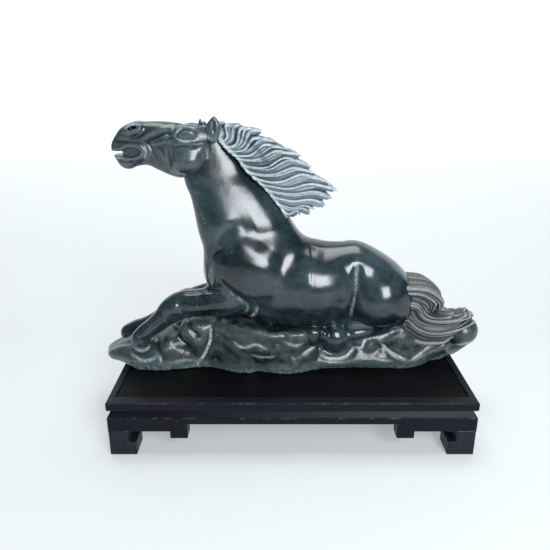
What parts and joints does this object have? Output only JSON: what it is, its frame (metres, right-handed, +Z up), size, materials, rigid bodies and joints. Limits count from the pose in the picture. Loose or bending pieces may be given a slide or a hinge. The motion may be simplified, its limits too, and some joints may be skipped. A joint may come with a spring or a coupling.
{
  "type": "jade horse figurine on a wooden stand",
  "caption": "Dark jade carving of a reclining horse on a rock, head raised and mane swept back, resting loose on a low stained wooden stand with key-fret feet.",
  "frame": {"origin": "centre of the stand at floor level, which is the bottom centre of the whole object", "axes": "+Z up, +X along the stand from the horse's head to its tail, -Y towards the side it is shown from"},
  "size_m": [0.229, 0.104, 0.176],
  "materials": {
    "jade": "polished",
    "stand_wood": "satin",
    "panel_wood": "satin",
    "inner_wood": "matte"
  },
  "bodies": {
    "stand": {"top_panel": "panel_wood", "top_rail_front": "stand_wood", "top_rail_back": "stand_wood", "top_rail_left": "stand_wood", "top_rail_right": "stand_wood", "waist_front": "stand_wood", "waist_back": "stand_wood", "waist_left": "stand_wood", "waist_right": "stand_wood", "apron_front": "stand_wood", "apron_back": "stand_wood", "apron_left": "stand_wood", "apron_right": "stand_wood", "foot_front_left": "stand_wood", "foot_front_right": "stand_wood", "foot_back_left": "stand_wood", "foot_back_right": "stand_wood", "corner_block_front_left": "inner_wood", "corner_block_front_right": "inner_wood", "corner_block_back_left": "inner_wood", "corner_block_back_right": "inner_wood", "panel_batten_left": "inner_wood", "panel_batten_right": "inner_wood"},
    "carving": {"jade_carving": "jade"}
  },
  "joints": [
    {"name": "carving_lift", "type": "slide", "parent": "stand", "child": "carving", "axis": [0, 0, 1], "range_m": [0, 0.06]}
  ]
}
